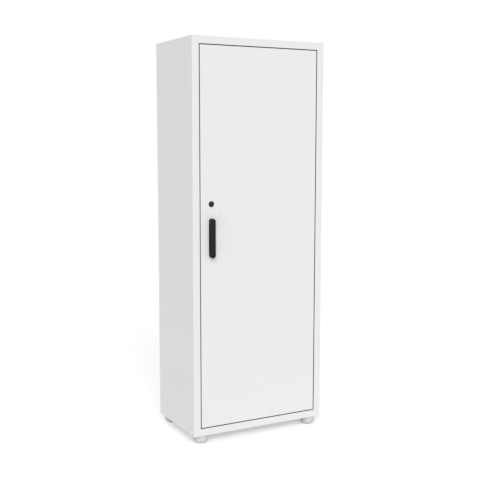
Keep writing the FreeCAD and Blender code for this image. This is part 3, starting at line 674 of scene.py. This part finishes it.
def add_fasteners(name, head, spots, finish, body):
    """One piece of like fasteners, a copy at each spot; a spot is a point and the way it faces."""
    mesh = bmesh.new()
    for i, (point, facing) in enumerate(spots):
        turn = facing.to_track_quat("Z", "Y").to_matrix().to_4x4()
        head.add_to(mesh, Matrix.Translation(point) @ turn @ Matrix.Rotation(SPIN_STEP * i, 4, "Z"))
    add_piece(name, mesh, finish, body)


def spot_row(start, end, facing, spacing):
    """Evenly spaced spots between two points, about a spacing apart."""
    steps = max(1, round((end - start).length / spacing))
    return [(start.lerp(end, i / steps), facing) for i in range(steps + 1)]


# Operators

class CUPBOARD_OT_paint_panels(bpy.types.Operator):
    """Powder-coat the sheet steel of cabinet and door"""
    bl_idname = "cupboard.paint_panels"
    bl_label = "Paint the sheet steel"

    def execute(self, context):
        paint = context.scene.cupboard.paint
        dress(nodes_of("white_paint"), powder_coat("powder_coat", paint))
        dress(["door_pan"], door_coat(paint))
        shelves = ["bottom_panel", "lower_shelf", "middle_shelf", "upper_shelf", "hat_shelf"]
        dress(shelves, worn_coat("shelf_coat", paint, STREAKED, SCUFF_STRETCH, SCUFF_SIZE))
        dress(["back_panel"], shade_and_dust_seam_coat(paint))
        dress(["top_panel"], worn_coat("top_coat", paint, DUSTED, DUST_STRETCH, DUST_SIZE))
        return {"FINISHED"}


class CUPBOARD_OT_plate_steel(bpy.types.Operator):
    """Zinc-plate the lock case, rods, hinges, clips and hooks"""
    bl_idname = "cupboard.plate_steel"
    bl_label = "Plate the bare steel"

    def execute(self, context):
        fittings = context.scene.cupboard.fittings
        plating = zinc_plate("zinc_plate", fittings, FLAT_BRUSH)
        dress(nodes_of("zinc_steel"), plating)
        soften("broom_hooks", "broom_hook_strips", fittings.hook_edge, plating)
        dress(["rod_upper", "rod_lower"], zinc_plate("rolled_zinc", fittings, LONG_BRUSH))
        dull_plating = zinc_plate("dull_zinc", fittings, FLAT_BRUSH, WASHER_TONE)
        soften("lock_washer", "retaining_washer", fittings.washer_edge, dull_plating)
        return {"FINISHED"}


class CUPBOARD_OT_finish_handle(bpy.types.Operator):
    """Give the pull handle its grained black plastic"""
    bl_idname = "cupboard.finish_handle"
    bl_label = "Finish the handle"

    def execute(self, context):
        fittings = context.scene.cupboard.fittings
        soften("handle", "pull_handle", fittings.handle_edge, handle_plastic(fittings))
        return {"FINISHED"}


class CUPBOARD_OT_finish_lock(bpy.types.Operator):
    """Give the lock's rose and plug their turned black metal"""
    bl_idname = "cupboard.finish_lock"
    bl_label = "Finish the lock"

    def execute(self, context):
        fittings = context.scene.cupboard.fittings
        plug_radius = (high("lock_plug").x - low("lock_plug").x) / 2
        rose = turned_metal("lock_black", fittings.lock_colour, ROSE_RADIUS)
        plug = turned_metal("plug_grey", fittings.plug_colour, plug_radius, PLUG_METALLIC)
        soften("lock_barrel", "lock_rose", fittings.rose_edge, rose)
        soften("lock_plug", "key_plug", fittings.plug_edge, plug)
        return {"FINISHED"}


class CUPBOARD_OT_finish_plastics(bpy.types.Operator):
    """Give bushes, rod guides and buffers their nylon and rubber"""
    bl_idname = "cupboard.finish_plastics"
    bl_label = "Finish the plastics"

    def execute(self, context):
        fittings = context.scene.cupboard.fittings
        dress(nodes_of("nylon"), moulded("nylon", fittings.nylon_colour, **NYLON_SURFACE))
        dress(["door_buffers"], moulded("buffer_rubber", fittings.buffer_and_gap_shade_rubber_colour, **RUBBER_SURFACE))
        return {"FINISHED"}


def foot_centres():
    """Middles of the four feet on the floor, from the record's mounts."""
    mounts = frame["record"]["mounts"]
    return [Vector(mount["pos_m"]) for mount in mounts if mount["name"].startswith("foot_face")]


FOOT_RADIUS = min(centre.x for centre in foot_centres()) - low("feet").x
FOOT_ROUND = 0.015
FOOT_ROUND_STEPS = 8
PAD_RADIUS = 0.017
PAD_EDGE = 0.0006
RIM_HEIGHT = 0.005
RIM_GROOVE = 0.0007
RIM_EDGE = 0.0008
TURNING_STEPS = 48


def foot_profile(height):
    """Radius and height up the outside of a foot: pad, rounded lower edge, groove under the rim, and top."""
    profile = [(PAD_RADIUS - PAD_EDGE, 0), (PAD_RADIUS, PAD_EDGE), (PAD_RADIUS, 2 * PAD_EDGE),
               (PAD_RADIUS + PAD_EDGE, 2 * PAD_EDGE), (PAD_RADIUS + 2 * PAD_EDGE, PAD_EDGE)]
    for i in range(FOOT_ROUND_STEPS + 1):
        turn = math.pi / 2 * i / FOOT_ROUND_STEPS
        profile.append((FOOT_RADIUS - FOOT_ROUND * (1 - math.sin(turn)), FOOT_ROUND * (1 - math.cos(turn))))
    rim = height - RIM_HEIGHT
    return profile + [(FOOT_RADIUS, rim - RIM_GROOVE), (FOOT_RADIUS - RIM_GROOVE, rim),
                      (FOOT_RADIUS - RIM_GROOVE, rim + RIM_GROOVE), (FOOT_RADIUS, rim + 2 * RIM_GROOVE),
                      (FOOT_RADIUS, height - RIM_EDGE), (FOOT_RADIUS - RIM_EDGE, height)]


class CUPBOARD_OT_turn_feet(bpy.types.Operator):
    """Make the four round feet, each with a pad, a rounded lower edge and a groove under its rim"""
    bl_idname = "cupboard.turn_feet"
    bl_label = "Turn the feet"

    def execute(self, context):
        fittings = context.scene.cupboard.fittings
        foot = TurnedPiece(foot_profile(high("feet").z - low("feet").z), even_angles(TURNING_STEPS))
        mesh = bmesh.new()
        for centre in foot_centres():
            foot.add_to(mesh, Matrix.Translation(centre))
        finish = moulded("foot_plastic", fittings.foot_colour, **FOOT_SURFACE)
        piece = add_piece("round_feet", mesh, finish, "cabinet")
        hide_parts("feet")
        return {"FINISHED"}


# The door seal is a near-black strip that darkens the door's gap as painted shade.
# Section of the door seal in shares of its height off the jamb and its depth into the gap: nose, rib and base
GAP_SHADE_SEAL_SECTION = ((0, 0), (0.6, 0), (0.85, 0.04), (1, 0.12), (1, 0.22), (0.85, 0.3), (0.6, 0.34), (0.6, 0.46),
                (0.8, 0.52), (0.8, 0.64), (0.6, 0.7), (0.6, 1), (0, 1))
# the dark seal sits close behind the door's face, so the gap reads dark as painted shade
GAP_SHADE_SEAL_SETBACK = 0.0006
HINGE_GAP_SHADE_SEAL_SHARE = 0.58
BUSH_SPACE = 0.0015
LIP_SETBACK = 0.00025
LIP_DEPTH = 0.0002


def add_strip(mesh, section, start, end, off, inward):
    """Add a straight closed strip to a bmesh; the section's two directions are off its base and inward."""
    rings = [[mesh.verts.new(point + off * u + inward * v) for u, v in section] for point in (start, end)]
    faces = [mesh.faces.new((rings[0][i - 1], rings[0][i], rings[1][i], rings[1][i - 1]))
             for i in range(len(section))]
    faces += [mesh.faces.new(ring) for ring in rings]
    bmesh.ops.recalc_face_normals(mesh, faces=faces)


class CUPBOARD_OT_fit_gap_shade_seal(bpy.types.Operator):
    """Fit the near-black seal into the door's gap to darken it as painted shade, lower at the hinge edge and
    only a lip before the bushes
    """
    bl_idname = "cupboard.fit_seal"
    bl_label = "Fit the door seal"

    def execute(self, context):
        fittings = context.scene.cupboard.fittings
        section = [(u * fittings.gap_shade_seal_height, v * fittings.gap_shade_seal_depth) for u, v in GAP_SHADE_SEAL_SECTION]
        hinge_section = [(u * HINGE_GAP_SHADE_SEAL_SHARE, v) for u, v in section]
        lip_section = ((0, 0), (fittings.gap_shade_seal_height, 0), (fittings.gap_shade_seal_height, LIP_DEPTH), (0, LIP_DEPTH))
        gap = low("right_side").x - high("door_pan").x
        front = low("door_pan").y + GAP_SHADE_SEAL_SETBACK
        lip_front = low("door_pan").y + LIP_SETBACK
        left, bottom = low("door_pan").x - gap, low("door_pan").z - gap
        right, top = high("door_pan").x + gap, high("door_pan").z + gap
        inner = left + fittings.gap_shade_seal_height
        hinge = low("hinge_bush_upper").x - BUSH_SPACE
        outer = right - fittings.gap_shade_seal_height * HINGE_GAP_SHADE_SEAL_SHARE
        mesh = bmesh.new()
        for shape, x, off in ((section, left, X), (hinge_section, right, -X)):
            add_strip(mesh, shape, Vector((x, front, bottom)), Vector((x, front, top)), off, Y)
        for z, off in ((bottom, Z), (top, -Z)):
            add_strip(mesh, section, Vector((inner, front, z)), Vector((hinge, front, z)), off, Y)
            add_strip(mesh, lip_section, Vector((hinge, lip_front, z)), Vector((outer, lip_front, z)), off, Y)
        # near-black rubber that stands in for the shade in the door's gap
        finish = moulded("gap_shade_seal_rubber", fittings.buffer_and_gap_shade_rubber_colour, **RUBBER_SURFACE)
        add_piece("door_gap_shade_seal", mesh, finish, "cabinet")
        return {"FINISHED"}


HANDLE_LEG = 0.024


class CUPBOARD_OT_handle_screws(bpy.types.Operator):
    """Put the two screws of the handle behind the door's skin"""
    bl_idname = "cupboard.handle_screws"
    bl_label = "Add handle screws"

    def execute(self, context):
        settings = context.scene.cupboard
        x = middle("handle").x
        heights = (low("handle").z + HANDLE_LEG / 2, high("handle").z - HANDLE_LEG / 2)
        spots = [(Vector((x, DOOR_SKIN, z)), Y) for z in heights]
        add_fasteners("handle_screws", screw_head(settings.fasteners.handle_screw), spots,
                      zinc_plate("screw_zinc", settings.fittings, FLAT_BRUSH), "door")
        return {"FINISHED"}


class CUPBOARD_OT_foot_screws(bpy.types.Operator):
    """Put a screw for each foot on the cabinet's floor"""
    bl_idname = "cupboard.foot_screws"
    bl_label = "Add foot screws"

    def execute(self, context):
        settings = context.scene.cupboard
        spots = [(Vector((centre.x, centre.y, CABINET_FLOOR)), Z) for centre in foot_centres()]
        add_fasteners("foot_screws", screw_head(settings.fasteners.foot_screw), spots,
                      zinc_plate("foot_screw_zinc", settings.fittings, FLAT_BRUSH), "cabinet")
        return {"FINISHED"}


COVER_FLANGE = 0.009
COVER_RIVET_RISE = 0.03
PLATE_RIVET_EDGE = 0.0055


class CUPBOARD_OT_lock_rivets(bpy.types.Operator):
    """Put the rivets of the lock case on its cover and base plate"""
    bl_idname = "cupboard.lock_rivets"
    bl_label = "Add lock rivets"

    def execute(self, context):
        settings = context.scene.cupboard
        flange_face = high("lock_plate").y + HEAVY_SHEET
        spots = [(Vector((x, flange_face, LOCK_CENTRE.z + rise)), Y)
                 for x in (low("lock_cover").x + COVER_FLANGE / 2, high("lock_cover").x - COVER_FLANGE / 2)
                 for rise in (-COVER_RIVET_RISE, COVER_RIVET_RISE)]
        spots += [(Vector((LOCK_CENTRE.x, high("lock_plate").y, z)), Y)
                  for z in (low("lock_plate").z + PLATE_RIVET_EDGE, high("lock_plate").z - PLATE_RIVET_EDGE)]
        add_fasteners("lock_rivets", rivet_head(settings.fasteners.lock_rivet), spots,
                      zinc_plate("lock_rivet_zinc", settings.fittings, FLAT_BRUSH), "door")
        return {"FINISHED"}


HOOK_STRIP = 0.002
HOOK_WIDTH = 0.016
HOOK_RIVET_RISE = 0.0115


class CUPBOARD_OT_hook_rivets(bpy.types.Operator):
    """Put a rivet through each broom hook"""
    bl_idname = "cupboard.hook_rivets"
    bl_label = "Add hook rivets"

    def execute(self, context):
        settings = context.scene.cupboard
        y = high("broom_hooks").y - HOOK_STRIP
        z = low("broom_hooks").z + HOOK_RIVET_RISE
        places = (low("broom_hooks").x + HOOK_WIDTH / 2, middle("broom_hooks").x,
                  high("broom_hooks").x - HOOK_WIDTH / 2)
        spots = [(Vector((x, y, z)), -Y) for x in places]
        add_fasteners("hook_rivets", rivet_head(settings.fasteners.hook_rivet), spots,
                      zinc_plate("hook_rivet_zinc", settings.fittings, FLAT_BRUSH), "cabinet")
        return {"FINISHED"}


WELD_EDGE = 0.0075
WELD_END = 0.06
SHORT_FLANGE_PARTS = 6
STIFFENER_FLANGE = 0.02
BRACKET_FLANGE = 0.008
RAIL_FLANGE = 0.012
UPRIGHT_FLANGE = 0.009


class CUPBOARD_OT_door_welds(bpy.types.Operator):
    """Mark the spot welds of the door's stiffener and lock bracket"""
    bl_idname = "cupboard.door_welds"
    bl_label = "Add door weld marks"

    def execute(self, context):
        settings = context.scene.cupboard
        spacing = settings.fasteners.weld_spacing
        spots = []
        for node, flange, sheet in (("door_stiffener", STIFFENER_FLANGE, SHEET),
                                    ("lock_bracket", BRACKET_FLANGE, HEAVY_SHEET)):
            end = min(WELD_END, (high(node).z - low(node).z) / SHORT_FLANGE_PARTS)
            for x in (low(node).x + flange / 2, high(node).x - flange / 2):
                start = Vector((x, DOOR_SKIN + sheet, low(node).z + end))
                spots += spot_row(start, Vector((x, DOOR_SKIN + sheet, high(node).z - end)), Y, spacing)
        add_fasteners("door_weld_marks", weld_mark(settings.fasteners.weld), spots,
                      powder_coat("door_weld_coat", settings.paint), "door")
        return {"FINISHED"}


class CUPBOARD_OT_cabinet_welds(bpy.types.Operator):
    """Mark the spot welds of the cabinet's flanges, brackets, uprights and hook rail"""
    bl_idname = "cupboard.cabinet_welds"
    bl_label = "Add cabinet weld marks"

    def execute(self, context):
        settings = context.scene.cupboard
        spacing = settings.fasteners.weld_spacing
        spots = (self.rear_flanges(spacing) + self.hook_rail(spacing) + self.hat_brackets(spacing)
                 + self.uprights(spacing))
        add_fasteners("cabinet_weld_marks", weld_mark(settings.fasteners.weld), spots,
                      powder_coat("cabinet_weld_coat", settings.paint), "cabinet")
        return {"FINISHED"}

    @staticmethod
    def rear_flanges(spacing):
        spots = []
        back = high("left_side").y
        for x in (low("left_side").x + WELD_EDGE, high("right_side").x - WELD_EDGE):
            start = Vector((x, back, low("left_side").z + WELD_END))
            spots += spot_row(start, Vector((x, back, high("left_side").z - WELD_END)), Y, spacing)
        for z in (low("bottom_panel").z + WELD_EDGE, high("top_panel").z - WELD_EDGE):
            start = Vector((low("left_side").x + WELD_END, back, z))
            spots += spot_row(start, Vector((high("right_side").x - WELD_END, back, z)), Y, spacing)
        return spots

    @staticmethod
    def hook_rail(spacing):
        spots = []
        y = BACK_SKIN - SHEET
        for z in (low("hook_rail").z + RAIL_FLANGE / 2, high("hook_rail").z - RAIL_FLANGE / 2):
            start = Vector((low("hook_rail").x + RAIL_FLANGE, y, z))
            spots += spot_row(start, Vector((high("hook_rail").x - RAIL_FLANGE, y, z)), -Y, spacing)
        return spots

    @staticmethod
    def hat_brackets(spacing):
        spots = []
        for node, x, facing in (("hat_bracket_left", low("hat_bracket_left").x + HEAVY_SHEET, X),
                                ("hat_bracket_right", high("hat_bracket_right").x - HEAVY_SHEET, -X)):
            start = Vector((x, low(node).y + RAIL_FLANGE, middle(node).z))
            spots += spot_row(start, Vector((x, high(node).y - RAIL_FLANGE, middle(node).z)), facing, spacing)
        return spots

    @staticmethod
    def uprights(spacing):
        spots = []
        for row in ("front", "rear"):
            inner, outer = "upright_partition_" + row, "upright_wall_" + row
            for node, x, facing in ((inner, low(inner).x + SHEET, X), (outer, high(outer).x - SHEET, -X)):
                for y in (low(node).y + UPRIGHT_FLANGE / 2, high(node).y - UPRIGHT_FLANGE / 2):
                    start = Vector((x, y, low(node).z + WELD_END))
                    spots += spot_row(start, Vector((x, y, high(node).z - WELD_END)), facing, spacing)
        return spots


FLOOR_REACH = 60.0
KEY_WAY = Vector((0.34, 0.78, -0.62))
SOFT_SUN = math.radians(35)
SENSOR = 36.0


class CUPBOARD_OT_set_stage(bpy.types.Operator):
    """Build the floor, the light and the camera"""
    bl_idname = "cupboard.set_stage"
    bl_label = "Set the stage"

    def execute(self, context):
        scene = context.scene
        stage = scene.cupboard.stage
        scene.view_settings.view_transform = "Standard"
        self.lay_floor(scene, stage)
        self.fill_world(scene, stage)
        self.hang_lamp(scene, "key", stage.key, KEY_WAY)
        self.place_camera(scene, stage)
        return {"FINISHED"}

    @staticmethod
    def lay_floor(scene, stage):
        """Pale floor that is lifted to white where it is seen, and keeps the shadow."""
        mesh = bmesh.new()
        bmesh.ops.create_circle(mesh, cap_ends=True, radius=FLOOR_REACH, segments=ROUND_STEPS)
        data = bpy.data.meshes.new("floor")
        mesh.to_mesh(data)
        mesh.free()
        floor = bpy.data.objects.new("floor", data)
        scene.collection.objects.link(floor)
        finish = Finish("studio_floor")
        finish.surface({"Base Color": stage.floor_colour, "Roughness": 1.0, "Specular IOR Level": 0.0})
        glow = finish.node("ShaderNodeEmission", None, {"Color": (1, 1, 1), "Strength": stage.floor_lift})
        matt = Value(finish, finish.shader.outputs[0])
        lifted = finish.node("ShaderNodeAddShader", None, {0: matt, 1: glow})
        seen = finish.node("ShaderNodeMixShader", None, {0: finish.shown(), 1: matt, 2: lifted})
        finish.feed(finish.tree.nodes["Material Output"].inputs["Surface"], seen)
        data.materials.append(finish.material)

    @staticmethod
    def fill_world(scene, stage):
        """Even light on the object, and plain white where the world itself is seen."""
        scene.world = bpy.data.worlds.new("studio")
        scene.world.use_nodes = True
        nodes = Nodes(scene.world.node_tree)
        nodes.tree.nodes.remove(nodes.tree.nodes["Background"])
        light = nodes.node("ShaderNodeBackground", None, {"Color": (1, 1, 1), "Strength": stage.sky})
        white = nodes.node("ShaderNodeBackground", None, {"Color": (1, 1, 1), "Strength": 1.0})
        seen = nodes.node("ShaderNodeMixShader", None, {0: nodes.shown(), 1: light, 2: white})
        nodes.feed(nodes.tree.nodes["World Output"].inputs["Surface"], seen)

    @staticmethod
    def hang_lamp(scene, name, energy, way):
        lamp = bpy.data.lights.new(name, "SUN")
        lamp.energy = energy
        lamp.angle = SOFT_SUN
        sun = bpy.data.objects.new(name, lamp)
        sun.rotation_euler = way.to_track_quat("-Z", "Y").to_euler()
        scene.collection.objects.link(sun)

    @staticmethod
    def place_camera(scene, stage):
        data = bpy.data.cameras.new("camera")
        data.sensor_width = SENSOR
        data.lens = stage.lens
        camera = bpy.data.objects.new("camera", data)
        camera.location = stage.camera_place
        camera.rotation_euler = (stage.camera_tilt, 0, stage.camera_turn)
        scene.collection.objects.link(camera)
        scene.camera = camera


OPERATORS = (
    CUPBOARD_OT_paint_panels,
    CUPBOARD_OT_plate_steel,
    CUPBOARD_OT_finish_handle,
    CUPBOARD_OT_finish_lock,
    CUPBOARD_OT_finish_plastics,
    CUPBOARD_OT_turn_feet,
    CUPBOARD_OT_fit_gap_shade_seal,
    CUPBOARD_OT_handle_screws,
    CUPBOARD_OT_foot_screws,
    CUPBOARD_OT_lock_rivets,
    CUPBOARD_OT_hook_rivets,
    CUPBOARD_OT_door_welds,
    CUPBOARD_OT_cabinet_welds,
    CUPBOARD_OT_set_stage,
)


class CUPBOARD_PT_panel(bpy.types.Panel):
    """Steps of the cupboard's finish"""
    bl_idname = "CUPBOARD_PT_panel"
    bl_label = "Broom cupboard"
    bl_space_type = "VIEW_3D"
    bl_region_type = "UI"
    bl_category = "Cupboard"

    def draw(self, context):
        for operator in OPERATORS:
            self.layout.operator(operator.bl_idname)
        settings = context.scene.cupboard
        for group in (settings.paint, settings.fittings, settings.fasteners, settings.stage):
            box = self.layout.box()
            for name in group.__annotations__:
                box.prop(group, name)


CLASSES = (PaintSettings, FittingSettings, FastenerSettings, StageSettings, CupboardSettings, *OPERATORS,
           CUPBOARD_PT_panel)


def register():
    for each in CLASSES:
        bpy.utils.register_class(each)
    bpy.types.Scene.cupboard = PointerProperty(type=CupboardSettings)


def unregister():
    del bpy.types.Scene.cupboard
    for each in reversed(CLASSES):
        bpy.utils.unregister_class(each)


def main():
    register()
    for operator in OPERATORS:
        group, name = operator.bl_idname.split(".")
        getattr(getattr(bpy.ops, group), name)()


if __name__ == "__main__":
    main()
